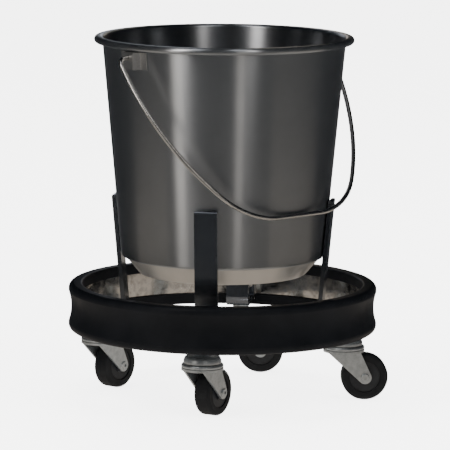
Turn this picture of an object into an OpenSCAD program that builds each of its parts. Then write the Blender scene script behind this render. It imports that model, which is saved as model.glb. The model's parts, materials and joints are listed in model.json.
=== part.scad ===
// Kick bucket: a stainless pail with a wire bail, standing loose in a wheeled ring stand.
// The origin is on the floor, under the centre of the stand.
// The uprights and casters lie on +X, +Y, -X and -Y.

/* [Pail] */
// Diameter over the rolled rim
pail_rim_d = 288; // [240:1:346]
// Height from the foot ring's lower edge to the top of the rolled rim
pail_h = 264; // [220:1:318]
// Thickness of the pail's sheet
pail_sheet = 1; // [0.8:0.1:1.6]
// Angle of the pail's wall from upright
wall_taper = 5.2; // [3:0.1:7]
// How far the rolled rim stands out from the wall
rim_curl_w = 9; // [8:0.1:12]
// Height of the rolled rim
rim_curl_h = 7.4; // [6:0.1:8.8]
// Outside radius of the corner between wall and floor
pail_corner_r = 3; // [2:0.5:8]
// Height of the foot ring
foot_ring_h = 19; // [10:0.5:24]
// How far the top of the foot ring stands in from the flat of the pail's floor
foot_ring_inset = 1; // [0.5:0.5:8]
// How far the foot ring draws in from its top to its lower edge
foot_ring_draw = 14.5; // [4:0.5:20]
// Thickness of the foot ring's sheet
foot_ring_sheet = 1.5; // [1:0.1:2.5]

/* [Bail] */
// Direction of the bail's hinge line, from +X towards +Y
bail_angle = 52; // [45:1:60]
// Diameter of the bail's wire
bail_wire_d = 5; // [4:0.1:6]
// Distance from the hinge line to the middle of the grip
bail_reach = 210; // [180:1:250]
// Straight length of wire at the middle of the bail
grip_l = 60; // [40:1:90]
// Clear distance from the rolled rim to the middle of the bail's wire
bail_rim_gap = 12; // [8:0.5:18]
// Radius of the hook that turns from the hinge line down into the arm
hook_r = 9.3; // [7.5:0.1:12]
// Width of one ear along the rim
ear_w = 40; // [34:1:48]
// Height of one ear
ear_h = 19; // [16:0.5:26]
// Thickness of the ear's sheet
ear_sheet = 1.4; // [1:0.1:2]
// How far the ear's middle stands off the wall
ear_stand = 9; // [8:0.1:12]
// Width of the ear's raised middle, at its front
ear_front_w = 17; // [14:0.5:20]

/* [Stand] */
// Height of the pail's foot ring above the underside of the stand's feet
pail_stand_h = 58.5; // [45:0.5:80]
// Width of the flat bar in the uprights
bar_w = 25.4; // [20:0.1:32]
// Thickness of the flat bar
bar_t = 4.8; // [3:0.1:6]
// Inside radius of the bar's bends
bar_bend_r = 6; // [4:0.5:9]
// Height of an upright, from the underside of its foot
upright_h = 143; // [120:1:175]
// Height of the tab that an upright's foot turns up against the hoop
tab_h = 27; // [24:0.5:32]
// Length of an upright's foot, from its heel to the hoop
foot_run = 53.2; // [48:0.1:64]
// Height of the hoop's band
hoop_h = 46; // [40:0.5:56]
// Thickness of the hoop's band
hoop_t = 3.2; // [2.5:0.1:4.5]
// How far the hoop hangs below the underside of the feet
hoop_drop = 2.5; // [1:0.1:5]
// Thickness of the bumper outside the hoop
bumper_t = 8.2; // [6.5:0.1:11]
// Thickness of rubber over the hoop's edges
bumper_wrap = 3; // [2:0.1:5]
// Height of the lips inside the hoop
lip_h = 12; // [9:0.5:13]
// Thickness of the lips inside the hoop
lip_t = 4; // [2.5:0.1:5]
// Depth of the hollow waist round the outside
waist_depth = 3; // [1.5:0.1:4]
// Height of the hollow waist
waist_h = 36; // [28:0.5:40]

/* [Casters] */
// Diameter of a wheel over its tyre
wheel_d = 52; // [44:0.5:62]
// Width of the tyre
wheel_w = 19.5; // [16:0.5:24]
// Diameter of the wheel's hub
hub_d = 34; // [26:0.5:36]
// Distance of the axle behind the swivel axis
trail = 23; // [20:0.5:27]
// Diameter of the axle
axle_d = 6; // [5:0.1:8]
// Thickness of the fork's sheet
fork_t = 2.5; // [2:0.1:3.5]
// Radius of the fork's eye round the axle
eye_r = 7.2; // [6.5:0.1:8.5]
// Radius of the fork's crown and of its ball race
crown_r = 23; // [21:0.5:26]
// Height of the ball race on the crown
race_h = 5; // [4.5:0.1:7]
// Height of the fixed cup above the race
cup_h = 10.1; // [9:0.1:13]
// Diameter of the bearing balls
ball_d = 4.8; // [4:0.1:5.6]
// Number of balls in one race
ball_count = 12; // [10:1:16]
// Diameter of the stem and kingpin
stem_d = 10; // [8:0.5:12]
// Height of the hexagon between the cup and the foot
collar_h = 9; // [6:0.5:13]
// Width across the flats of the hexagons
hex_af = 17; // [15:0.5:19]
// Height of the nut on the stem
nut_h = 8; // [6:0.5:10]
// Direction in which each wheel trails at rest: front, right, back, left
rest_swivel = [69, 12, 9, 61];

/* [Clearances] */
// Gap between the pail's wall and the uprights it is wedged in
seat_gap = 0.3; // [0.3:0.05:0.8]
// Gap between the bail's grip and the wall that it rests on
bail_rest_gap = 0.4; // [0.3:0.05:1]
// Radial gap of a shaft that turns in its hole
running_gap = 0.08; // [0.05:0.01:0.1]
// Gap at each side of the wheel's bushing, in the fork
side_gap = 0.3; // [0.2:0.05:0.6]
// Gap between the race and the cup
race_gap = 0.4; // [0.3:0.05:0.6]
// Gap between the top of the tyre and the crown
crown_gap = 2; // [1.5:0.1:4]
// Radial gap round the stem in the foot
stem_gap = 0.25; // [0.15:0.05:0.5]
// Gap round a foot in the notch of the bumper's lip
notch_gap = 0.5; // [0.3:0.1:1.5]

/* [Hidden] */
$fn = 96;
SIDES = ["front", "right", "back", "left"];
side_angle = [270, 0, 90, 180];
sides = [0:len(SIDES) - 1];

// Heights, from the floor up
axle_z = wheel_d / 2;
crown_z = wheel_d + crown_gap;
race_z = crown_z + fork_t;
cup_z = race_z + race_h + race_gap;
collar_z = cup_z + cup_h;
foot_z = collar_z + collar_h;
hoop_z = foot_z - hoop_drop;
pail_z = foot_z + pail_stand_h;
floor_z = pail_z + foot_ring_h;
rim_z = pail_z + pail_h - rim_curl_h / 2;

// Pail
rim_r = pail_rim_d / 2;
sheet_w = pail_sheet / cos(wall_taper);
function wall_r(z) = rim_r - rim_curl_w - (rim_z - z) * tan(wall_taper);
corner_z = floor_z + pail_corner_r;
corner_x = wall_r(corner_z) - pail_corner_r / cos(wall_taper);
foot_top_r = corner_x - foot_ring_inset;
foot_ring_r = foot_top_r - foot_ring_draw;
ring_lip_w = 4;
ring_edge = 2;
curl_slit = 1.2;

// Bail and ears
wire_r = bail_wire_d / 2;
ear_rim_gap = 1.6;
pivot_inset = 6.5;
ear_top_z = rim_z - rim_curl_h / 2 - ear_rim_gap;
pivot_z = ear_top_z - pivot_inset;
ear_front_x = wall_r(pivot_z) + ear_stand;
ear_back_w = ear_front_w + 8;
head_r = wire_r + 1.8;
head_t = 1.8;
head_gap = 0.5;
pin_end_x = ear_front_x - ear_sheet - head_gap - head_t;
half_span = rim_r + bail_rim_gap;
// The arm is two arcs, which meet where the wire has turned by the angle of a 3-4-5 triangle.
// That angle and radii kept to 0.01 mm let the two arcs share their end face exactly.
function snap(v) = round(v * 100) / 100;
turn_cos = 0.8;
turn_sin = 0.6;
arm_turn = asin(turn_sin);
arm_w = half_span - grip_l / 2;
arm_h = bail_reach - hook_r;
arc_det = 1 - turn_cos - turn_sin;
upper_r = snap((arm_w * (1 - turn_sin) - arm_h * turn_cos) / arc_det);
lower_r = snap((arm_h * (1 - turn_cos) - arm_w * turn_sin) / arc_det);
join_x = half_span - upper_r * (1 - turn_cos);
join_z = -hook_r - upper_r * turn_sin;
grip_end_x = join_x - lower_r * turn_cos;
grip_z = join_z - lower_r * (1 - turn_sin);
// The lean at which the grip lies against the pail's wall
bail_lean = asin((wall_r(pivot_z) * cos(wall_taper) + wire_r + bail_rest_gap) / -grip_z) - wall_taper;

// Stand
bar_face_w = bar_t / cos(wall_taper);
bend_outer_r = bar_bend_r + bar_t;
heel_z = foot_z + bend_outer_r;
heel_x = wall_r(heel_z) + seat_gap + bend_outer_r / cos(wall_taper);
hoop_in_r = heel_x - bend_outer_r + foot_run;
hoop_out_r = hoop_in_r + hoop_t;
tab_x = sqrt(pow(hoop_in_r, 2) - pow(bar_w / 2, 2));
toe_x = tab_x - bend_outer_r;
toe_gap = 1.5;
washer_t = 1.6;
washer_r = stem_d + 0.5;
caster_r = toe_x - washer_r - toe_gap;
bumper_r = hoop_out_r + bumper_t;
lip_r = hoop_in_r - lip_t;
top_chamfer = 1;
edge_r = 6;
lip_edge_r = 1.9;
rivet_r = 2.5;
rivet_head_r = 4.5;
rivet_head_h = 2;
rivet_y = bar_w / 4;
rivet_z = (heel_z + foot_z + tab_h) / 2;

// Casters
stem_r = stem_d / 2;
axle_r = axle_d / 2;
bushing_t = 2;
bushing_r = axle_r + running_gap + bushing_t;
bushing_l = wheel_w + 2.1;
fork_gap = bushing_l + 2 * side_gap;
hub_r = hub_d / 2;
hub_w = wheel_w - 2.7;
boss_w = wheel_w + 1.3;
boss_r = bushing_r + 3.4;
tyre_edge_r = 3.5;
tyre_seat_r = 0.6;
kingpin_head_r = stem_r + 3;
kingpin_head_t = 2.6;
kingpin_gap = 0.25;
race_edge_r = race_h / 2 + 0.25;
ball_r = ball_d / 2;
ball_ring_r = (stem_r + crown_r) / 2 + 1.4;
ball_z = race_z + race_h + race_gap / 2;
groove_gap = 0.05;
cup_r = crown_r - 2.3;
cup_edge_h = 1.2;
cup_dome_r = cup_h - cup_edge_h;
thread_end = 3;
axle_head_r = axle_r + 1.8;
axle_head_t = 1.8;
dimple_r = axle_r - 1.2;
fork_half = sqrt(pow(crown_r, 2) - pow(fork_gap / 2 + fork_t, 2)) - 0.6;
FAR = 1000;
CUT = 1;

STEEL = "#b9bcbe";
BRIGHT = "#d5d6d6";
PLATE = "#8e9194";
RUBBER = "#15181c";
ZINC = "#b4bcb9";
WHEEL = "#1d1f23";
HUB = "#2a2d31";

// A solid turned from a profile drawn in radius and height
module turned() {
    rotate_extrude() children();
}

// A flat sheet cut to a profile drawn in radius and height, with its middle on the XZ plane
module upright_sheet(thickness) {
    rotate([90, 0, 0]) linear_extrude(height = thickness, center = true) children();
}

// A hexagon of a given width across its flats
module hexagon(across) {
    circle(d = across / cos(30), $fn = 6);
}

// A rectangle from low to high whose four corners have their own radii,
// in the order low-low, high-low, high-high, low-high
module rounded_box(low, high, r) {
    polygon([
        [low.x + r[0], low.y], [high.x - r[1], low.y],
        [high.x, low.y + r[1]], [high.x, high.y - r[2]],
        [high.x - r[2], high.y], [low.x + r[3], high.y],
        [low.x, high.y - r[3]], [low.x, low.y + r[0]]
    ]);
    translate([low.x + r[0], low.y + r[0]]) circle(r = r[0]);
    translate([high.x - r[1], low.y + r[1]]) circle(r = r[1]);
    translate([high.x - r[2], high.y - r[2]]) circle(r = r[2]);
    translate([low.x + r[3], high.y - r[3]]) circle(r = r[3]);
}

// The part of a ring between two radii that lies between two angles less than 180 degrees apart
module ring_sector(inner, outer, from, to) {
    middle = (from + to) / 2;
    reach = 2 * outer;
    intersection() {
        difference() {
            circle(r = outer);
            circle(r = inner);
        }
        polygon([
            [0, 0],
            reach * [cos(from), sin(from)],
            reach * [cos(middle), sin(middle)],
            reach * [cos(to), sin(to)]
        ]);
    }
}

// Where a line from a point touches a circle, on its left (+1) or right (-1) as seen from the point
function touch(point, centre, r, side) =
    let (to_centre = centre - point, reach = norm(to_centre))
    let (angle = atan2(to_centre.y, to_centre.x) + side * asin(r / reach))
    point + sqrt(reach * reach - r * r) * [cos(angle), sin(angle)];

// Moves a piece from the X axis to one side of the stand
module at_side(i) {
    rotate([0, 0, side_angle[i]]) children();
}

// Moves a piece of a caster's fixed half to its place in the stand
module at_caster(i) {
    at_side(i) translate([caster_r, 0, 0]) children();
}

// Moves a piece of a caster's swivelling half to its place and turns it to its rest direction
module at_swivel(i) {
    at_side(i) translate([caster_r, 0, 0]) rotate([0, 0, rest_swivel[i] - side_angle[i]]) children();
}

// Moves a piece turned about Z onto a caster's axle
module on_axle(i) {
    at_swivel(i) translate([trail, 0, axle_z]) rotate([90, 0, 0]) children();
}

// The space inside the pail's outer wall, which trims what is fixed to it
module wall_space() {
    low = rim_z - 2 * ear_h;
    turned() polygon([[0, low], [wall_r(low), low], [wall_r(rim_z), rim_z], [0, rim_z]]);
}

// Drawn pail: floor, corner, tapered wall and a rim rolled outwards, left open along its lower inside
module pail_shell() {
    tangent = [cos(wall_taper), -sin(wall_taper)];
    corner = [corner_x, corner_z];
    curl_r = rim_curl_h / 2;
    curl_in_x = wall_r(rim_z) - sheet_w + curl_r;
    curl_out_x = rim_r - curl_r;
    color(STEEL) turned() {
        translate([0, floor_z]) square([corner_x, pail_sheet]);
        translate(corner) ring_sector(pail_corner_r - pail_sheet, pail_corner_r, -90, -wall_taper);
        polygon([
            corner + pail_corner_r * tangent,
            [wall_r(rim_z), rim_z],
            [wall_r(rim_z) - sheet_w, rim_z],
            corner + (pail_corner_r - pail_sheet) * tangent
        ]);
        difference() {
            union() {
                translate([curl_in_x, rim_z]) circle(r = curl_r);
                translate([curl_out_x, rim_z]) circle(r = curl_r);
                translate([curl_in_x, rim_z - curl_r]) square([curl_out_x - curl_in_x, rim_curl_h]);
            }
            translate([curl_in_x, rim_z]) circle(r = curl_r - pail_sheet);
            translate([curl_out_x, rim_z]) circle(r = curl_r - pail_sheet);
            translate([curl_in_x, rim_z - curl_r + pail_sheet])
                square([curl_out_x - curl_in_x, rim_curl_h - 2 * pail_sheet]);
            translate([wall_r(rim_z), rim_z - curl_r - CUT]) square([curl_slit, curl_r + CUT]);
        }
    }
}

// Ring welded under the floor, drawn in like a funnel, with its lower edge turned inwards
module pail_foot_ring() {
    slope_h = foot_ring_h - ring_edge;
    face_w = foot_ring_sheet * norm([slope_h, foot_ring_draw]) / slope_h;
    lip_out_x = foot_ring_r - ring_edge;
    lip_in_x = foot_ring_r - ring_edge - ring_lip_w;
    lip_top_z = pail_z + foot_ring_sheet;
    color(STEEL) turned() polygon([
        [foot_top_r, floor_z],
        [foot_ring_r, pail_z + ring_edge],
        [lip_out_x, pail_z],
        [lip_in_x, pail_z],
        [lip_in_x, lip_top_z],
        [foot_ring_r - face_w, lip_top_z],
        [foot_top_r - face_w, floor_z]
    ]);
}

// Pressed ear: two wings on the wall and a raised middle, open above and below, that holds the bail's end
module ear() {
    low = ear_top_z - ear_h;
    back_x = wall_r(low) - CUT;
    wing_angle = 2 * asin(ear_w / 2 / wall_r(pivot_z));
    color(STEEL) difference() {
        union() {
            rotate_extrude(angle = wing_angle, start = -wing_angle / 2) polygon([
                [wall_r(low), low], [wall_r(low) + ear_sheet, low],
                [wall_r(ear_top_z) + ear_sheet, ear_top_z], [wall_r(ear_top_z), ear_top_z]
            ]);
            translate([0, 0, low]) linear_extrude(height = ear_h) polygon([
                [back_x, -ear_back_w / 2], [ear_front_x, -ear_front_w / 2],
                [ear_front_x, ear_front_w / 2], [back_x, ear_back_w / 2]
            ]);
        }
        translate([0, 0, low - CUT]) linear_extrude(height = ear_h + 2 * CUT) polygon([
            [back_x, -ear_back_w / 2 + ear_sheet], [ear_front_x - ear_sheet, -ear_front_w / 2 + ear_sheet],
            [ear_front_x - ear_sheet, ear_front_w / 2 - ear_sheet], [back_x, ear_back_w / 2 - ear_sheet]
        ]);
        translate([back_x, 0, pivot_z]) rotate([0, 90, 0])
            cylinder(r = wire_r + running_gap, h = ear_stand + 4 * CUT);
        wall_space();
    }
}

module bail_ear_right() {
    rotate([0, 0, bail_angle]) ear();
}

module bail_ear_left() {
    rotate([0, 0, bail_angle + 180]) ear();
}

// A length of wire bent to a radius, from one angle to another, turning from +X down towards -Z
module bent_wire(r, from, to) {
    reach = 2 * (r + wire_r);
    rotate([-90, 0, 0]) intersection() {
        turned() translate([r, 0]) circle(r = wire_r);
        rotate([0, 0, from]) translate([0, 0, -reach / 2]) cube(reach);
        rotate([0, 0, to - 90]) translate([0, 0, -reach / 2]) cube(reach);
    }
}

// One half of the bail, hanging from the origin: headed end, hook, and an arm of two arcs
module half_bail() {
    hook_x = half_span - hook_r;
    translate([pin_end_x, 0, 0]) rotate([0, 90, 0]) cylinder(r = head_r, h = head_t);
    translate([hook_x, 0, 0]) rotate([0, -90, 0])
        cylinder(r = wire_r, h = hook_x - pin_end_x - head_t / 2);
    translate([hook_x, 0, -hook_r]) bent_wire(hook_r, -90, 0);
    translate([half_span - upper_r, 0, -hook_r]) bent_wire(upper_r, 0, arm_turn);
    translate([grip_end_x, 0, grip_z + lower_r]) bent_wire(lower_r, arm_turn, 90);
}

// Wire bail, lying against the pail's wall
module bail_handle() {
    color(BRIGHT) translate([0, 0, pivot_z]) rotate([0, 0, bail_angle]) rotate([-bail_lean, 0, 0]) {
        half_bail();
        mirror([1, 0, 0]) half_bail();
        translate([0, 0, grip_z]) rotate([0, 90, 0])
            cylinder(r = wire_r, h = 2 * grip_end_x, center = true);
    }
}

// The holes and shanks of the rivets in one foot, lying along X
module rivet_shanks(r, from, to) {
    for (y = [-rivet_y, rivet_y]) {
        translate([from, y, rivet_z]) rotate([0, 90, 0]) cylinder(r = r, h = to - from);
    }
}

// Rolled steel band that carries the four uprights
module stand_hoop() {
    color(BRIGHT) difference() {
        turned() translate([hoop_in_r, hoop_z]) square([hoop_t, hoop_h]);
        for (i = sides) {
            at_side(i) rivet_shanks(rivet_r, hoop_in_r - CUT - hoop_t, hoop_out_r + CUT);
        }
    }
}

// Rubber channel sprung over the hoop, with a hollow waist outside and a notch at each foot
module rubber_bumper() {
    low = hoop_z - bumper_wrap;
    high = hoop_z + hoop_h + bumper_wrap;
    waist_r = (pow(waist_h / 2, 2) + pow(waist_depth, 2)) / (2 * waist_depth);
    notch_w = bar_w + 2 * notch_gap;
    notch_z = foot_z - notch_gap;
    color(RUBBER) difference() {
        turned() difference() {
            rounded_box([lip_r, low], [bumper_r, high], [lip_edge_r, edge_r, edge_r, lip_edge_r]);
            translate([hoop_in_r, hoop_z]) square([hoop_t, hoop_h]);
            translate([lip_r - CUT, low + lip_h]) square([lip_t + 2 * CUT, high - low - 2 * lip_h]);
            translate([bumper_r - waist_depth + waist_r, (low + high) / 2]) circle(r = waist_r);
        }
        for (i = sides) {
            at_side(i) translate([lip_r - lip_t, -notch_w / 2, notch_z])
                cube([2 * lip_t + hoop_t / 2, notch_w, low + lip_h + CUT - notch_z]);
        }
    }
}

// What an upright and its foot enclose: open at the top, with the heel and the toe rounded to a radius
module bent_block(width, r, left_top, right_top) {
    heel = [heel_x, heel_z];
    toe = [toe_x, heel_z];
    leg_foot = heel + r * [-cos(wall_taper), sin(wall_taper)];
    upright_sheet(width)
        polygon(concat([leg_foot], left_top, right_top, [toe + [r, 0], toe - [0, r], heel - [0, r]]));
    upright_sheet(width) translate(heel) circle(r = r);
    upright_sheet(width) translate(toe) circle(r = r);
}

// Flat bar along the pail's wall, bent out into a foot and up into a tab against the hoop
module upright(i) {
    top_z = foot_z + upright_h;
    tab_z = foot_z + tab_h;
    in_x = wall_r(top_z) + seat_gap;
    out_x = in_x + bar_face_w;
    above_z = top_z + CUT;
    beyond_x = tab_x + CUT;
    in_edge = [[in_x, top_z - top_chamfer], [in_x + top_chamfer, top_z]];
    out_edge = [[out_x, top_z - top_chamfer], [out_x - top_chamfer - CUT, above_z]];
    tab_edge = [[beyond_x, above_z], [beyond_x, tab_z], [tab_x - bar_t, tab_z]];
    color(PLATE) at_side(i) difference() {
        bent_block(bar_w, bend_outer_r, in_edge, [[tab_x, top_z]]);
        bent_block(bar_w + 2 * CUT, bar_bend_r, out_edge, tab_edge);
        translate([caster_r, 0, foot_z - CUT]) cylinder(r = stem_r + stem_gap, h = bar_t + 2 * CUT);
        rivet_shanks(rivet_r, tab_x - bar_t - CUT, tab_x + CUT);
    }
}

// Dome-headed rivets through the tabs and the hoop, flush outside
module foot_rivets() {
    shank_end_x = sqrt(pow(hoop_out_r, 2) - pow(rivet_y + rivet_r, 2));
    dome_r = (pow(rivet_head_r, 2) + pow(rivet_head_h, 2)) / (2 * rivet_head_h);
    face_x = tab_x - bar_t;
    color(BRIGHT) for (i = sides) at_side(i) {
        rivet_shanks(rivet_r, face_x, shank_end_x);
        for (y = [-rivet_y, rivet_y]) {
            intersection() {
                translate([face_x + dome_r - rivet_head_h, y, rivet_z]) sphere(r = dome_r);
                translate([face_x - rivet_head_h, y, rivet_z]) rotate([0, 90, 0])
                    cylinder(r = rivet_head_r, h = rivet_head_h);
            }
        }
    }
}

// Stem: kingpin with its head under the crown, hexagon collar under the foot, and thread above it
module caster_stem(i) {
    head_z = crown_z - kingpin_gap - kingpin_head_t;
    top_z = foot_z + bar_t + washer_t + nut_h + thread_end;
    color(ZINC) at_caster(i) {
        translate([0, 0, head_z]) cylinder(r = stem_r, h = top_z - head_z);
        translate([0, 0, head_z]) cylinder(r = kingpin_head_r, h = kingpin_head_t);
        translate([0, 0, collar_z]) linear_extrude(height = collar_h) hexagon(hex_af);
    }
}

// The ring of balls' path, cut out of what holds them
module ball_groove() {
    turned() translate([ball_ring_r, ball_z]) circle(r = ball_r + groove_gap);
}

// Domed cup on the stem, above the balls
module caster_cup(i) {
    color(ZINC) at_caster(i) difference() {
        turned() {
            translate([stem_r, cup_z]) square([cup_r - cup_dome_r - stem_r, cup_h]);
            translate([stem_r, cup_z]) square([cup_r - stem_r, cup_edge_h]);
            translate([cup_r - cup_dome_r, cup_z + cup_edge_h]) intersection() {
                circle(r = cup_dome_r);
                square(cup_dome_r);
            }
        }
        ball_groove();
    }
}

// Bearing balls between race and cup
module caster_balls(i) {
    color(BRIGHT) at_swivel(i) for (k = [1:ball_count]) {
        rotate([0, 0, 360 * k / ball_count]) translate([ball_ring_r, 0, ball_z]) sphere(r = ball_r);
    }
}

// Pressed fork: crown with a rolled race on it, and two arms that narrow to the axle
module caster_fork(i) {
    eye = [trail, axle_z];
    left = [-fork_half, crown_z];
    right = [fork_half, crown_z];
    bore_r = stem_r + running_gap;
    color(ZINC) at_swivel(i) difference() {
        union() {
            for (y = [-1, 1] * (fork_gap + fork_t) / 2) {
                translate([0, y, 0]) upright_sheet(fork_t) {
                    polygon([left, touch(left, eye, eye_r, -1), eye, touch(right, eye, eye_r, 1), right]);
                    translate(eye) circle(r = eye_r);
                }
            }
            translate([0, 0, crown_z]) cylinder(r = crown_r, h = fork_t);
            turned() {
                translate([bore_r, race_z]) square([crown_r - race_edge_r - bore_r, race_h]);
                translate([crown_r - race_edge_r, race_z + race_h - race_edge_r]) circle(r = race_edge_r);
            }
        }
        translate([0, 0, crown_z - CUT]) cylinder(r = bore_r, h = fork_t + race_h + 2 * CUT);
        translate([trail, 0, axle_z]) rotate([90, 0, 0])
            cylinder(r = axle_r, h = 2 * fork_gap, center = true);
        ball_groove();
    }
}

// Rivet axle with a dished head at each end
module caster_axle(i) {
    half = fork_gap / 2 + fork_t;
    color(ZINC) on_axle(i) difference() {
        union() {
            cylinder(r = axle_r, h = 2 * half, center = true);
            for (end = [0, 1]) mirror([0, 0, end]) translate([0, 0, half])
                cylinder(r1 = axle_head_r, r2 = axle_head_r - 0.8, h = axle_head_t);
        }
        for (end = [0, 1]) mirror([0, 0, end]) translate([0, 0, half + 0.4])
            cylinder(r = dimple_r, h = axle_head_t);
    }
}

// Hard rubber tyre with rounded shoulders
module wheel_tyre(i) {
    color(WHEEL) on_axle(i) turned() rounded_box(
        [hub_r, -wheel_w / 2], [wheel_d / 2, wheel_w / 2],
        [tyre_seat_r, tyre_edge_r, tyre_edge_r, tyre_seat_r]
    );
}

// Moulded hub, sunk below the tyre's sides, with a raised boss round the bushing
module wheel_hub(i) {
    color(HUB) on_axle(i) turned() {
        translate([bushing_r, -hub_w / 2]) square([hub_r - bushing_r, hub_w]);
        translate([bushing_r, -boss_w / 2]) square([boss_r - bushing_r, boss_w]);
    }
}

// Steel sleeve that turns on the axle
module wheel_bushing(i) {
    color(BRIGHT) on_axle(i) turned()
        translate([axle_r + running_gap, -bushing_l / 2]) square([bushing_t, bushing_l]);
}

// One washer on each foot, under the stem's nut
module caster_washers() {
    color(BRIGHT) for (i = sides) at_caster(i) turned()
        translate([stem_r, foot_z + bar_t]) square([washer_r - stem_r, washer_t]);
}

// One nut on each stem
module caster_nuts() {
    color(ZINC) for (i = sides) at_caster(i) translate([0, 0, foot_z + bar_t + washer_t])
        linear_extrude(height = nut_h) difference() {
            hexagon(hex_af);
            circle(r = stem_r);
        }
}

pail_shell();
pail_foot_ring();
bail_ear_left();
bail_ear_right();
bail_handle();
stand_hoop();
rubber_bumper();
foot_rivets();
caster_washers();
caster_nuts();
for (i = sides) {
    upright(i);
    caster_stem(i);
    caster_cup(i);
    caster_balls(i);
    caster_fork(i);
    caster_axle(i);
    wheel_tyre(i);
    wheel_hub(i);
    wheel_bushing(i);
}
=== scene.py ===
# %% [markdown]
# # A stainless kick bucket on its wheeled stand
# The shapes that move, fasten or carry load come from the CAD part, already packed. This lesson puts a
# studio set round it, gives every surface a finish, eases the edges of the ears and uprights, and adds the
# small welds and threads that the CAD part leaves out.

# %% Read the part
import json
import math

import bmesh
import bpy
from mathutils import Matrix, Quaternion, Vector

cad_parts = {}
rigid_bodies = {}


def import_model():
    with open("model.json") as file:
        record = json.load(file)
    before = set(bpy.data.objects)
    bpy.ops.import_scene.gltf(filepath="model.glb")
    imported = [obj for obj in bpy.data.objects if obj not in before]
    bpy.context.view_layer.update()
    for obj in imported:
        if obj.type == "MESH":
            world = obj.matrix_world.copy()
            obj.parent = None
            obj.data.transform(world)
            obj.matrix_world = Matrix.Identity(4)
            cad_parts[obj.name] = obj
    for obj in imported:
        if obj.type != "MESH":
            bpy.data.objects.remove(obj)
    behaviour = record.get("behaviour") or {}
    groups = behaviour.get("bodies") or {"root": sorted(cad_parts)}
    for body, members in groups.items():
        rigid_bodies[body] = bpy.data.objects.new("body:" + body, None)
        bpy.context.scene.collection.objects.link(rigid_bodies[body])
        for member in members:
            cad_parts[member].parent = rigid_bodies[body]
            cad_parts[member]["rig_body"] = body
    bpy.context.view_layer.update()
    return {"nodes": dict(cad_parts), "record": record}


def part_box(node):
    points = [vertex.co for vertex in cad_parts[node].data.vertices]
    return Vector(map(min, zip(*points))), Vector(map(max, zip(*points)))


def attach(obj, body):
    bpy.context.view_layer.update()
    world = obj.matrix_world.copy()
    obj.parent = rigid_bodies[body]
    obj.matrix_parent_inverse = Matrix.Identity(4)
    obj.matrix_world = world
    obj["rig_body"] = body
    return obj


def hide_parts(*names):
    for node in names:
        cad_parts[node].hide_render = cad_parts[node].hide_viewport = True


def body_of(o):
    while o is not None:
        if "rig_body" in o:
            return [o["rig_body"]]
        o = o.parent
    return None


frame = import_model()
nodes = frame["nodes"]
SIDES = ("front", "right", "back", "left")

# %% [markdown]
# ## The camera
# A long lens a few metres away keeps the pail's sides nearly parallel. The camera stands a little to the
# right of the front upright and looks slightly down, so that the inside of the far rim shows.

# %% Camera
# Distance and height are in metres, and the lens and its sensor in millimetres
CAMERA_DISTANCE = 3.948
CAMERA_HEIGHT = 0.793
CAMERA_AZIMUTH = math.radians(8.9)
CAMERA_DIP = math.radians(8.66)
CAMERA_ROLL = math.radians(0.4)
lens = bpy.data.cameras.new("lens")
lens.lens = 286.7
lens.sensor_width = 36
lens.shift_x = 0.0044
camera = bpy.data.objects.new("camera", lens)
bpy.context.scene.collection.objects.link(camera)
bpy.context.scene.camera = camera
outward = Vector((math.sin(CAMERA_AZIMUTH), -math.cos(CAMERA_AZIMUTH), 0))
camera.location = outward * CAMERA_DISTANCE + Vector((0, 0, CAMERA_HEIGHT))
sight = -outward * math.cos(CAMERA_DIP) - Vector((0, 0, math.sin(CAMERA_DIP)))
level = sight.to_track_quat("-Z", "Y")
camera.rotation_euler = (level @ Quaternion((0, 0, 1), CAMERA_ROLL)).to_euler()
print("camera at", [round(v, 3) for v in camera.location])

# %% [markdown]
# ## Two small helpers for materials
# Colours are written as sRGB hex, as on a paint card, and Blender's sockets want linear light, so one
# function turns one into the other. A second adds any node with its settings and links in one call.


# %% Colour and node helpers
def paint(code):
    """An sRGB hex colour such as b8b4ac as linear red, green, blue and alpha."""
    channels = [int(code[i : i + 2], 16) / 255 for i in (0, 2, 4)]
    linear = [c / 12.92 if c <= 0.04045 else ((c + 0.055) / 1.055) ** 2.4 for c in channels]
    return (*linear, 1.0)


def add(tree, kind, inputs=None, **settings):
    """Adds a node. An input is given by name or number, as a value or as another node's output."""
    node = tree.nodes.new(kind)
    for name, value in settings.items():
        setattr(node, name, value)
    for key, value in (inputs or {}).items():
        if isinstance(value, bpy.types.NodeSocket):
            tree.links.new(value, node.inputs[key])
        else:
            node.inputs[key].default_value = value
    return node


# %% [markdown]
# ## Floor and light
# Polished steel has hardly any colour of its own: it shows the room. The floor is pale and plain, and three
# large soft lamps light it. What the steel mirrors is arranged as in a tabletop studio, with dark drapes and
# a few tall white cards. The cards are met by reflections alone, so they never show directly or throw shade.

# %% Floor


def set_piece(name, points, faces, material):
    """A piece of the set, such as the floor or a card."""
    mesh = bpy.data.meshes.new(name)
    mesh.from_pydata(points, [], faces)
    mesh.materials.append(material)
    piece = bpy.data.objects.new(name, mesh)
    bpy.context.scene.collection.objects.link(piece)
    return piece


# Seamless paper sweep: matt, near white, with no pattern that could be taken for the object's
paper = bpy.data.materials.new("paper_sweep")
paper.use_nodes = True
paper_shader = paper.node_tree.nodes["Principled BSDF"]
paper_shader.inputs["Base Color"].default_value = paint("f4f4f2")
paper_shader.inputs["Roughness"].default_value = 0.9
paper_shader.inputs["Specular IOR Level"].default_value = 0.1
# The table under the paper glows a little, which is how a picture is given a plain white ground
paper_shader.inputs["Emission Color"].default_value = paint("ffffff")
paper_shader.inputs["Emission Strength"].default_value = 4.5
# Half the side of the paper, in metres
REACH = 30
corners = [(-REACH, -REACH, 0), (REACH, -REACH, 0), (REACH, REACH, 0), (-REACH, REACH, 0)]
set_piece("paper_floor", corners, [(0, 1, 2, 3)], paper)
print("floor", REACH * 2, "m across")

# %% Reflection cards


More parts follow.
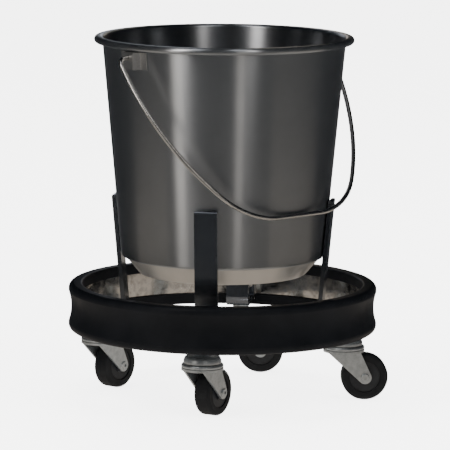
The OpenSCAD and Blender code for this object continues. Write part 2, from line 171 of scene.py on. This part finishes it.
def card_material(name, code, strength):
    """A card that gives an even light of one colour."""
    material = bpy.data.materials.new(name)
    material.use_nodes = True
    tree = material.node_tree
    tree.nodes.clear()
    glow = add(tree, "ShaderNodeEmission", {"Color": paint(code), "Strength": strength})
    add(tree, "ShaderNodeOutputMaterial", {"Surface": glow.outputs[0]})
    return material


def mirror_only(piece):
    """Lets a piece of the set be met by reflections and by nothing else."""
    piece.visible_camera = False
    piece.visible_diffuse = False
    piece.visible_shadow = False
    piece.visible_transmission = False
    piece.visible_volume_scatter = False


def curved_card(name, start, end, lower, upper, code, strength):
    """A card bent round the object between two azimuths, measured leftwards from the camera.

    lower and upper are the radius and height of its two long edges, so it can stand up or lie flat.
    """
    steps = max(2, round((end - start) / CARD_STEP))
    points = []
    for k in range(steps + 1):
        angle = CAMERA_AZIMUTH - math.radians(start + (end - start) * k / steps)
        for radius, height in (lower, upper):
            points.append((radius * math.sin(angle), -radius * math.cos(angle), height))
    faces = [(2 * k, 2 * k + 1, 2 * k + 3, 2 * k + 2) for k in range(steps)]
    mirror_only(set_piece(name, points, faces, card_material(name, code, strength)))


# Degrees between the straight facets of a bent card
CARD_STEP = 3
# Heights in metres: of cards on the floor, of a window's foot, middle and top, of the roof, of the drape
MAT = 0.002
SILL = 0.004
BENCH = 0.42
WINDOW_TOP = 0.95
ROOF = 1.5
DRAPE_TOP = 1.7
# Radii in metres: of the hole in the middle, of two edges on the floor, of the windows and drape, of the roof
HOLE = 0.01
NEAR = 0.47
MIDDLE = 0.70
STAND = 0.62
DRAPE = 2.4
ROOF_IN = 0.35
ROOF_OUT = 1.6
# The far cards cover the whole paper, so that steel never mirrors its glow
FAR = 45.0
# Each card: name, azimuths in degrees, two long edges, colour and strength
cards = [
    ("floor_near", -180, 180, (HOLE, MAT), (NEAR, MAT), "ece0d2", 0.55),
    ("floor_left", 58, 104, (NEAR, MAT), (MIDDLE, MAT), "f0e2d2", 0.45),
    ("floor_front", -48, 58, (NEAR, MAT), (MIDDLE, MAT), "dde1e6", 0.06),
    ("floor_right", -110, -48, (NEAR, MAT), (MIDDLE, MAT), "f0e2d2", 0.45),
    ("floor_far", -110, 104, (MIDDLE, MAT), (FAR, MAT), "cfd8e6", 0.025),
    ("floor_back", 104, 250, (NEAR, MAT), (FAR, MAT), "cfd8e6", 0.02),
    ("drape_front", -108, 98, (DRAPE, 0.0), (DRAPE, DRAPE_TOP), "ccd6e6", 0.02),
    ("left_window", 37, 46, (STAND, SILL), (STAND, BENCH), "fff6ec", 1.3),
    ("left_window_top", 31, 41, (STAND, BENCH), (STAND, WINDOW_TOP), "fff9f4", 5.5),
    ("right_window", -18, -11, (STAND, SILL), (STAND, BENCH), "fff6ec", 0.75),
    ("right_window_top", -27, -19, (STAND, BENCH), (STAND, WINDOW_TOP), "fff9f4", 2.6),
    ("left_roof", 26, 50, (ROOF_IN, ROOF), (ROOF_OUT, ROOF), "fafbff", 1.6),
    ("right_roof", -30, -8, (ROOF_IN, ROOF), (ROOF_OUT, ROOF), "fafbff", 1.2),
    ("back_left_window", 166, 177, (STAND, SILL), (STAND, WINDOW_TOP), "f2f6ff", 0.8),
    ("back_right_window", -176, -168, (STAND, SILL), (STAND, WINDOW_TOP), "fff4e6", 0.8),
]
for card in cards:
    curved_card(*card)
print(len(cards), "cards")

# %% Lamps and surroundings
# Every lamp points at a place inside the foot of the pail
LAMP_AIM = Vector((0, 0, 0.2))


def soft_lamp(name, place, size, power):
    """A square soft box, with its side in metres and its power in watts."""
    lamp = bpy.data.lights.new(name, "AREA")
    lamp.size = size
    lamp.energy = power
    holder = bpy.data.objects.new(name, lamp)
    bpy.context.scene.collection.objects.link(holder)
    holder.location = place
    holder.rotation_euler = (LAMP_AIM - Vector(place)).to_track_quat("-Z", "Y").to_euler()
    # Steel would mirror the lamp itself as a flare, so it mirrors the cards alone
    holder.visible_glossy = False


soft_lamp("key_lamp", (-1.9, -1.5, 2.4), 1.2, 60)
soft_lamp("fill_lamp", (2.0, -1.3, 2.2), 1.2, 45)
soft_lamp("top_lamp", (0.0, 0.6, 3.0), 1.6, 50)

# The surroundings light the paper evenly, and stay dark where steel mirrors them
room = bpy.data.worlds.new("room")
bpy.context.scene.world = room
room.use_nodes = True
room_tree = room.node_tree
room_tree.nodes.clear()
ray = add(room_tree, "ShaderNodeLightPath")
pale = add(room_tree, "ShaderNodeBackground", {"Color": paint("ffffff"), "Strength": 1.0})
drape = add(room_tree, "ShaderNodeBackground", {"Color": paint("14171c"), "Strength": 1.0})
choice = {0: ray.outputs["Is Glossy Ray"], 1: pale.outputs[0], 2: drape.outputs[0]}
either = add(room_tree, "ShaderNodeMixShader", choice)
add(room_tree, "ShaderNodeOutputWorld", {"Surface": either.outputs[0]})
print("lamps and room ready")

# %% [markdown]
# ## How a finish is built
# Each finish starts from the typical values of its real material. Slow noise then varies its colour and
# gloss, as handling and washing do, and fine noise lifts the surface for grain. The renderer cleans a surface
# in another way when its roughness is under about 0.27, so a finish stays on one side of that. Only the
# greasy bearing steel crosses it, on balls and bushings that hardly show. Sizes are given in millimetres and
# turned into the noise's scale, which counts waves in a metre.

# %% Finish helpers


def begin(name, code, metallic, roughness, **sockets):
    """A material with its shader set to the plain values of its substance."""
    material = bpy.data.materials.new(name)
    material.use_nodes = True
    shader = material.node_tree.nodes["Principled BSDF"]
    shader.inputs["Base Color"].default_value = paint(code)
    shader.inputs["Metallic"].default_value = metallic
    shader.inputs["Roughness"].default_value = roughness
    for word, value in sockets.items():
        label = word.replace("_", " ").title().replace("Ior", "IOR")
        shader.inputs[label].default_value = value
    return material, material.node_tree, shader


def waves(millimetres):
    """The noise scale whose waves are this long."""
    return 1000 / millimetres


def places(tree):
    """The point on the object that is being coloured, in metres."""
    return add(tree, "ShaderNodeTexCoord").outputs["Object"]


# A turn of the unit circle stands for the pail's girth, so one radius is this many mm of run
GIRTH_RADIUS = 130


def turned_places(tree, along, across):
    """Coordinates for marks round the Z axis: along is their length and across their spacing, in mm."""
    split = add(tree, "ShaderNodeSeparateXYZ", {0: places(tree)})
    flat = add(tree, "ShaderNodeCombineXYZ", {0: split.outputs[0], 1: split.outputs[1], 2: 0.0})
    reach = add(tree, "ShaderNodeVectorMath", {0: flat.outputs[0]}, operation="LENGTH")
    unit = add(tree, "ShaderNodeVectorMath", {0: flat.outputs[0]}, operation="NORMALIZE")
    turns = {0: unit.outputs[0], 3: GIRTH_RADIUS / along}
    round_part = add(tree, "ShaderNodeVectorMath", turns, operation="SCALE")
    # Height less radius changes up a wall and across a flat alike, so both get their rings
    climb = {0: split.outputs[2], 1: reach.outputs["Value"]}
    rise = add(tree, "ShaderNodeMath", climb, operation="SUBTRACT")
    rings = add(tree, "ShaderNodeMath", {0: rise.outputs[0], 1: waves(across)}, operation="MULTIPLY")
    up_part = add(tree, "ShaderNodeCombineXYZ", {2: rings.outputs[0]})
    parts = {0: round_part.outputs[0], 1: up_part.outputs[0]}
    both = add(tree, "ShaderNodeVectorMath", parts, operation="ADD")
    return both.outputs[0]


def noise(tree, vector, scale, detail=3.0, rough=0.5):
    """Noise from 0 to 1 at some places."""
    inputs = {"Vector": vector, "Scale": scale, "Detail": detail, "Roughness": rough}
    return add(tree, "ShaderNodeTexNoise", inputs).outputs[0]


def spread(tree, value, low, high, from_low=0.3, from_high=0.7):
    """The middle of a noise's range stretched to run from low to high."""
    inputs = {0: value, 1: from_low, 2: from_high, 3: low, 4: high}
    return add(tree, "ShaderNodeMapRange", inputs).outputs[0]


def blend(tree, share, first, second):
    """A colour between two, each a hex code or another node's output."""
    inputs = {0: share}
    for number, colour in ((6, first), (7, second)):
        inputs[number] = paint(colour) if isinstance(colour, str) else colour
    return add(tree, "ShaderNodeMix", inputs, data_type="RGBA").outputs[2]


def lift(tree, shader, height, millimetres):
    """Raises the surface by a height, on top of any that is already there."""
    inputs = {"Height": height, "Distance": millimetres / 1000, "Strength": 1.0}
    before = shader.inputs["Normal"].links
    if before:
        inputs["Normal"] = before[0].from_socket
    bump = add(tree, "ShaderNodeBump", inputs)
    tree.links.new(bump.outputs[0], shader.inputs["Normal"])


def connect(tree, shader, colour=None, roughness=None):
    """Feeds a pattern to the shader's colour or roughness."""
    if colour is not None:
        tree.links.new(colour, shader.inputs["Base Color"])
    if roughness is not None:
        tree.links.new(roughness, shader.inputs["Roughness"])


# %% [markdown]
# ## Pail: satin stainless steel
# The pail is drawn from sheet and ground with a fine belt while it spins, so its grain runs round it. Grain
# like that smears a reflection up and down, which is why windows show as tall soft streaks. The smear comes
# from the shader's anisotropy, and the grain from noise stretched along the girth.

# %% Pail steel


def ground_steel(name, light, dark, rough_low, rough_high, grain_mm, smear):
    """Stainless steel ground round the Z axis."""
    # A quarter turn sets the smear across the grain, which is up and down the wall
    turned = {"anisotropic": smear, "anisotropic_rotation": 0.25}
    material, tree, shader = begin(name, light, 1.0, rough_low, **turned)
    grain_way = add(tree, "ShaderNodeTangent", direction_type="RADIAL", axis="Z")
    tree.links.new(grain_way.outputs[0], shader.inputs["Tangent"])
    # Grinding lines are about 0.05 mm apart, and are drawn at grain_mm so that they show
    lines = noise(tree, turned_places(tree, 120, grain_mm), 1.0, 2.0, 0.5)
    # Clouds from washing and wiping, a hand across
    clouds = noise(tree, places(tree), waves(90), 4.0, 0.6)
    # Fine scuffs from stacking, a few millimetres wide and long round the girth
    scuffs = noise(tree, turned_places(tree, 35, 2.2), 1.0, 2.0, 0.5)
    worn = spread(tree, clouds, 0.0, 1.0)
    connect(tree, shader, colour=blend(tree, worn, light, dark))
    even = spread(tree, lines, rough_low, rough_high)
    marks = spread(tree, scuffs, 0.0, 0.02, 0.55, 0.8)
    wiped = spread(tree, clouds, 0.0, 0.03)
    total = add(tree, "ShaderNodeMath", {0: even, 1: marks}, operation="ADD")
    sums = {0: total.outputs[0], 1: wiped}
    total = add(tree, "ShaderNodeMath", sums, operation="ADD", use_clamp=True)
    connect(tree, shader, roughness=total.outputs[0])
    lift(tree, shader, lines, 0.0004)
    return material


pail_steel = ground_steel("pail_steel_304_satin_ground", "b4b7ba", "a9acaf", 0.285, 0.295, 1.8, 0.9)
foot_steel = ground_steel("foot_steel_304_satin", "cfccc6", "c2beb7", 0.285, 0.34, 1.8, 0.6)
print("pail finishes:", pail_steel.name, foot_steel.name)

# %% [markdown]
# ## Bright and plated metal
# The bail is drawn wire, pulled bright through a die and marked by handling. The hoop is plated bright. The
# casters are zinc plated, which is greyer and cooler with a soft mottle. The uprights have a smoky black
# nickel plate. Their marks have no direction, so plain noise at the size of each will do, and only the
# hoop's rolling wave needs the turned coordinates of the pail.

# %% Other metals


def drawn_wire(name):
    """Stainless wire: bright, with faint handling marks."""
    material, tree, shader = begin(name, "d6d4d0", 1.0, 0.16)
    marks = noise(tree, places(tree), waves(5), 4.0, 0.6)
    connect(tree, shader, colour=blend(tree, spread(tree, marks, 0.0, 1.0), "dbd9d5", "c0beba"))
    connect(tree, shader, roughness=spread(tree, marks, 0.12, 0.26))
    lift(tree, shader, noise(tree, places(tree), waves(1.2), 2.0), 0.02)
    return material


def pressed_stainless(name):
    """Small stainless pressing, tumbled with stones to take off its burrs."""
    material, tree, shader = begin(name, "bfbdb9", 1.0, 0.3)
    tumble = noise(tree, places(tree), waves(1.6), 4.0, 0.7)
    connect(tree, shader, colour=blend(tree, spread(tree, tumble, 0.0, 1.0), "b9b8b6", "a6a5a2"))
    connect(tree, shader, roughness=spread(tree, tumble, 0.285, 0.36))
    lift(tree, shader, tumble, 0.01)
    return material


def bright_plate(name):
    """Nickel-chrome plate on rolled band: mirror bright, with water marks and a rolling wave."""
    material, tree, shader = begin(name, "d2d0cc", 1.0, 0.1)
    drops = noise(tree, places(tree), waves(7), 5.0, 0.65)
    connect(tree, shader, colour=blend(tree, spread(tree, drops, 0.0, 1.0, 0.45, 0.75), "d6d4d0", "aaa69e"))
    connect(tree, shader, roughness=spread(tree, drops, 0.07, 0.24, 0.4, 0.75))
    lift(tree, shader, noise(tree, turned_places(tree, 60, 16), 1.0, 1.0), 0.12)
    return material


def zinc_plate(name):
    """Bright zinc with a clear passivation: grey with a cool cast, mottled a few millimetres across."""
    material, tree, shader = begin(name, "c3c8ca", 1.0, 0.32)
    mottle = noise(tree, places(tree), waves(6), 5.0, 0.7)
    connect(tree, shader, colour=blend(tree, spread(tree, mottle, 0.0, 1.0), "c9cdcf", "a5abad"))
    connect(tree, shader, roughness=spread(tree, mottle, 0.285, 0.42))
    lift(tree, shader, noise(tree, places(tree), waves(1.5), 3.0), 0.03)
    return material


def bearing_steel(name):
    """Ground and hardened bearing steel under a film of grease."""
    material, tree, shader = begin(name, "bdb9b0", 1.0, 0.12)
    film = noise(tree, places(tree), waves(3), 3.0)
    connect(tree, shader, colour=blend(tree, spread(tree, film, 0.0, 1.0), "c8c5bf", "8d8676"))
    connect(tree, shader, roughness=spread(tree, film, 0.08, 0.3))
    return material


def plain_steel(name):
    """Cold-headed rivet and washer steel, bright but unpolished."""
    material, tree, shader = begin(name, "b5b3af", 1.0, 0.3)
    skin = noise(tree, places(tree), waves(2), 4.0, 0.65)
    connect(tree, shader, colour=blend(tree, spread(tree, skin, 0.0, 1.0), "bebcb8", "8b8984"))
    connect(tree, shader, roughness=spread(tree, skin, 0.285, 0.42))
    lift(tree, shader, skin, 0.04)
    return material


def dark_plate(name):
    """Black nickel plate on flat bar: a smoky mirror, with soft waves and rubbed patches."""
    material, tree, shader = begin(name, "7b7f86", 1.0, 0.18)
    rubs = noise(tree, places(tree), waves(18), 5.0, 0.65)
    connect(tree, shader, colour=blend(tree, spread(tree, rubs, 0.0, 1.0), "80848b", "6e7278"))
    connect(tree, shader, roughness=spread(tree, rubs, 0.14, 0.24))
    lift(tree, shader, noise(tree, places(tree), waves(9), 1.0), 0.03)
    return material


wire_steel = drawn_wire("wire_steel_drawn_bright")
ear_steel = pressed_stainless("ear_steel_pressed_tumbled")
hoop_plate = bright_plate("hoop_steel_nickel_chrome_plate")
caster_zinc = zinc_plate("caster_steel_zinc_plate")
ball_steel = bearing_steel("bearing_steel_ground")
rivet_steel = plain_steel("rivet_steel_cold_headed")
upright_plate = dark_plate("upright_steel_black_nickel_plate")
print("metals ready")

# %% [markdown]
# ## Rubber and plastic
# The bumper is extruded rubber with a waxy bloom, so it has a soft sheen and a fine grain from the die. The
# wheels are moulded hard rubber, duller, greyed in patches by dust, on a slightly glossier moulded hub.

# %% Rubbers


def extruded_rubber(name):
    """Black EPDM rubber, extruded: semi-gloss, with die lines that run round the hoop."""
    material, tree, shader = begin(name, "050608", 0.0, 0.42, specular_ior_level=0.12)
    # Die lines are about 0.3 mm apart, and are drawn at 1.2 mm so that they show
    lines = noise(tree, turned_places(tree, 200, 1.2), 1.0, 3.0, 0.6)
    bloom = noise(tree, places(tree), waves(40), 5.0, 0.65)
    connect(tree, shader, colour=blend(tree, spread(tree, bloom, 0.0, 1.0, 0.4, 0.8), "050608", "090a0d"))
    connect(tree, shader, roughness=spread(tree, bloom, 0.34, 0.48))
    lift(tree, shader, lines, 0.03)
    lift(tree, shader, noise(tree, places(tree), waves(0.9), 2.0), 0.015)
    return material


def wheel_rubber(name):
    """Hard moulded tyre rubber: dull, with pits about 0.8 mm across and dust in patches."""
    material, tree, shader = begin(name, "07080a", 0.0, 0.5, specular_ior_level=0.2)
    dust = noise(tree, places(tree), waves(9), 5.0, 0.7)
    pits = noise(tree, places(tree), waves(0.8), 3.0, 0.6)
    connect(tree, shader, colour=blend(tree, spread(tree, dust, 0.0, 1.0, 0.5, 0.85), "07080a", "121313"))
    connect(tree, shader, roughness=spread(tree, dust, 0.42, 0.68))
    lift(tree, shader, pits, 0.04)
    return material


def hub_plastic(name):
    """Moulded black polypropylene hub, with the fine spark grain of its mould."""
    material, tree, shader = begin(name, "0b0c0e", 0.0, 0.36, specular_ior_level=0.3)
    grain = noise(tree, places(tree), waves(0.7), 3.0, 0.6)
    flow = noise(tree, places(tree), waves(14), 3.0)
    connect(tree, shader, colour=blend(tree, spread(tree, flow, 0.0, 1.0), "0b0c0e", "121315"))
    connect(tree, shader, roughness=spread(tree, flow, 0.3, 0.44))
    lift(tree, shader, grain, 0.03)
    return material


bumper_rubber = extruded_rubber("bumper_rubber_extruded_epdm")
tyre_rubber = wheel_rubber("wheel_rubber_hard_moulded")
hub_moulding = hub_plastic("hub_polypropylene_moulded")
print("rubbers ready")

# %% [markdown]
# ## Finishes on the CAD pieces
# The record says which finish each CAD piece has, as a slot. The same slot names are matched here to the
# materials, so that no piece is left plain.

# %% Give each CAD piece its finish
FINISH = {
    "pail_stainless": pail_steel,
    "foot_stainless": foot_steel,
    "ear_stainless": ear_steel,
    "bail_wire": wire_steel,
    "hoop_plated": hoop_plate,
    "bumper_rubber": bumper_rubber,
    "rivet_steel": rivet_steel,
    "upright_plated": upright_plate,
    "caster_zinc": caster_zinc,
    "bearing_steel": ball_steel,
    "wheel_rubber": tyre_rubber,
    "wheel_hub_plastic": hub_moulding,
}
slot_of = {part["node"]: part["material_slot"] for part in frame["record"]["subparts"]}
for name, node in nodes.items():
    node.data.materials.clear()
    node.data.materials.append(FINISH[slot_of[name]])
print(len(nodes), "CAD pieces finished")

# %% [markdown]
# ## Eased edges
# Sheared bar and pressed sheet never have knife edges. Where the CAD edge is sharp, a copy of the piece has
# it rounded off by a fraction of a millimetre and takes the CAD piece's place, so that the edge catches
# light. A bevel in the material would be quicker, but it would not be in the mesh.

# %% Eased copies


def show(name, mesh, body, material):
    """Puts a finished mesh in the scene, on the body it moves with."""
    mesh.materials.clear()
    mesh.materials.append(material)
    piece = bpy.data.objects.new(name, mesh)
    bpy.context.scene.collection.objects.link(piece)
    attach(piece, body)
    return piece


def settled(name, mesh, modify):
    """The mesh that a modifier makes of another one."""
    holder = bpy.data.objects.new(name, mesh)
    bpy.context.scene.collection.objects.link(holder)
    modify(holder)
    seen = holder.evaluated_get(bpy.context.evaluated_depsgraph_get())
    result = bpy.data.meshes.new_from_object(seen)
    bpy.data.objects.remove(holder)
    return result


def weigh_normals(holder):
    """Keeps wide flats flat to the eye beside their rounded edges."""
    weighted = holder.modifiers.new("weighted", "WEIGHTED_NORMAL")
    weighted.keep_sharp = True
    weighted.weight = 100


# Points within MERGE metres are one point, faces that meet at under FLAT are one face, and edges that turn
# by more than SHARP are rounded off
MERGE = 1e-6
FLAT = math.radians(0.5)
SHARP = math.radians(40)


def eased_mesh(node, width):
    """A CAD piece's mesh, merged, with its sharp edges rounded off by a width in metres."""
    shape = bmesh.new()
    shape.from_mesh(node.data)
    shape.transform(node.matrix_world)
    for layer in [*shape.loops.layers.uv.values()]:
        shape.loops.layers.uv.remove(layer)
    bmesh.ops.remove_doubles(shape, verts=shape.verts, dist=MERGE)
    bmesh.ops.dissolve_limit(shape, angle_limit=FLAT, verts=shape.verts, edges=shape.edges)
    sharp = [edge for edge in shape.edges if edge.is_manifold and edge.calc_face_angle() > SHARP]
    bevel = {"offset": width, "segments": 2, "profile": 0.5, "clamp_overlap": True}
    bmesh.ops.bevel(shape, geom=sharp, affect="EDGES", **bevel)
    bmesh.ops.recalc_face_normals(shape, faces=shape.faces)
    mesh = bpy.data.meshes.new(node.name + "_eased")
    shape.to_mesh(mesh)
    shape.free()
    if "custom_normal" in mesh.attributes:
        mesh.attributes.remove(mesh.attributes["custom_normal"])
    mesh.shade_smooth()
    mesh.set_sharp_from_angle(angle=SHARP)
    return settled(mesh.name, mesh, weigh_normals)


# How far each piece's edges are rounded, in metres
EASED = {"bail_ear_left": 0.0003, "bail_ear_right": 0.0003}
EASED.update({f"upright_{side}": 0.0007 for side in SIDES})
for name, width in EASED.items():
    node = nodes[name]
    slot = slot_of[name]
    body = body_of(node)[0]
    piece = show(f"eased_{name}", eased_mesh(node, width), body, FINISH[slot])
    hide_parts(name)
    print(piece.name, len(piece.data.polygons), "faces")

# %% [markdown]
# ## Details that repeat
# The foot ring is welded to the pail's floor in a row of small overlapping beads, and the stems end in a
# rolled thread. Both are made with Geometry Nodes: one node tree for each, with its sizes as named inputs,
# so that a count or a pitch is changed in one place.

# %% Node tree tools


def new_tree(name, inputs):
    """A Geometry Nodes tree with named inputs and one geometry output."""
    tree = bpy.data.node_groups.new(name, "GeometryNodeTree")
    for label, kind, value in inputs:
        socket = tree.interface.new_socket(label, in_out="INPUT", socket_type=kind)
        socket.default_value = value
    tree.interface.new_socket("Material", in_out="INPUT", socket_type="NodeSocketMaterial")
    tree.interface.new_socket("Geometry", in_out="OUTPUT", socket_type="NodeSocketGeometry")
    return tree, tree.nodes.new("NodeGroupInput").outputs


def end_tree(tree, instances, given):
    """Turns instances into real mesh, gives them their material and ends the tree."""
    real = add(tree, "GeometryNodeRealizeInstances", {0: instances})
    coat = {"Geometry": real.outputs[0], "Material": given["Material"]}
    coated = add(tree, "GeometryNodeSetMaterial", coat)
    add(tree, "NodeGroupOutput", {0: coated.outputs[0]})


def grow(name, tree, material, **sizes):
    """The plain mesh that a tree makes with some of its inputs set."""

    def modify(holder):
        grower = holder.modifiers.new("grow", "NODES")
        grower.node_group = tree
        values = {**sizes, "Material": material}
        for item in tree.interface.items_tree:
            if item.in_out == "INPUT" and item.name in values:
                grower[item.identifier] = values[item.name]

    return settled(name, bpy.data.meshes.new(name + "_seed"), modify)


# %% Weld beads
weld, given = new_tree(
    "weld_beads",
    [
        ("Count", "NodeSocketInt", 280),
        ("Radius", "NodeSocketFloat", 0.1),
        ("Height", "NodeSocketFloat", 0.15),
        ("Bead", "NodeSocketFloat", 0.0008),
        ("Seed", "NodeSocketInt", 4),
    ],
)
circle = add(weld, "GeometryNodeMeshCircle", {"Vertices": given["Count"], "Radius": given["Radius"]})
bead = add(weld, "GeometryNodeMeshUVSphere", {"Segments": 10, "Rings": 6, "Radius": given["Bead"]})
here = add(weld, "GeometryNodeInputPosition")
facing = add(weld, "FunctionNodeAlignRotationToVector", {"Vector": here.outputs[0]}, axis="X")
span = {2: 0.85, 3: 1.15, "Seed": given["Seed"]}
varied = add(weld, "FunctionNodeRandomValue", span, data_type="FLOAT")
# A bead is longer round the ring than it is wide
stretch = add(weld, "ShaderNodeCombineXYZ", {0: 1.0, 1: 1.9, 2: 0.9})
scaling = {0: stretch.outputs[0], 3: varied.outputs[1]}
size = add(weld, "ShaderNodeVectorMath", scaling, operation="SCALE")
placing = {
    "Points": circle.outputs[0],
    "Instance": bead.outputs[0],
    "Rotation": facing.outputs[0],
    "Scale": size.outputs[0],
}
row = add(weld, "GeometryNodeInstanceOnPoints", placing)
rise = add(weld, "ShaderNodeCombineXYZ", {2: given["Height"]})
moving = {"Geometry": row.outputs[0], "Translation": rise.outputs[0]}
raised = add(weld, "GeometryNodeTransform", moving)
end_tree(weld, raised.outputs[0], given)

ring_low, ring_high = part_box("pail_foot_ring")
seam_radius = (ring_high[0] - ring_low[0]) / 2
# Metres from bead to bead
BEAD_STEP = 0.0024
bead_count = round(2 * math.pi * seam_radius / BEAD_STEP)
seam = {"Count": bead_count, "Radius": seam_radius, "Height": ring_high[2]}
beads = grow("foot_weld_beads", weld, foot_steel, **seam)
foot_body = body_of(nodes["pail_foot_ring"])[0]
show("foot_weld_beads", beads, foot_body, foot_steel)
print(bead_count, "beads,", len(beads.polygons), "faces")

# %% Stem threads
thread, given = new_tree(
    "rolled_thread",
    [
        ("Turns", "NodeSocketInt", 3),
        ("Pitch", "NodeSocketFloat", 0.001),
        ("Radius", "NodeSocketFloat", 0.005),
        ("Crest", "NodeSocketFloat", 0.0003),
        ("Place", "NodeSocketVector", (0.0, 0.0, 0.0)),
    ],
)
step = add(thread, "ShaderNodeCombineXYZ", {2: given["Pitch"]})
line = add(thread, "GeometryNodeMeshLine", {"Count": given["Turns"], "Offset": step.outputs[0]})
path = add(thread, "GeometryNodeCurvePrimitiveCircle", {"Resolution": 48, "Radius": given["Radius"]})
profile = add(thread, "GeometryNodeCurvePrimitiveCircle", {"Resolution": 8, "Radius": given["Crest"]})
sweep = {"Curve": path.outputs[0], "Profile Curve": profile.outputs[0]}
turn = add(thread, "GeometryNodeCurveToMesh", sweep)
stack = {"Points": line.outputs[0], "Instance": turn.outputs[0]}
turns = add(thread, "GeometryNodeInstanceOnPoints", stack)
moving = {"Geometry": turns.outputs[0], "Translation": given["Place"]}
placed = add(thread, "GeometryNodeTransform", moving)
end_tree(thread, placed.outputs[0], given)

# Metres from turn to turn, and from the top turn to the stem's end
THREAD_PITCH = 0.001
THREAD_TURNS = 3
THREAD_END = 0.0006
for side in SIDES:
    stem = nodes[f"caster_stem_{side}"]
    cup_low, cup_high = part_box(f"caster_cup_{side}")
    stem_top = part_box(stem.name)[1][2]
    # The top turn stays just under the stem's end
    lowest = stem_top - THREAD_END - THREAD_PITCH * (THREAD_TURNS - 1)
    place = ((cup_low[0] + cup_high[0]) / 2, (cup_low[1] + cup_high[1]) / 2, lowest)
    rolled = {"Place": place, "Pitch": THREAD_PITCH, "Turns": THREAD_TURNS}
    turns_mesh = grow(f"stem_thread_{side}", thread, caster_zinc, **rolled)
    show(f"stem_thread_{side}", turns_mesh, body_of(stem)[0], caster_zinc)
print(len(SIDES), "threads from", round(lowest, 4), "m up")
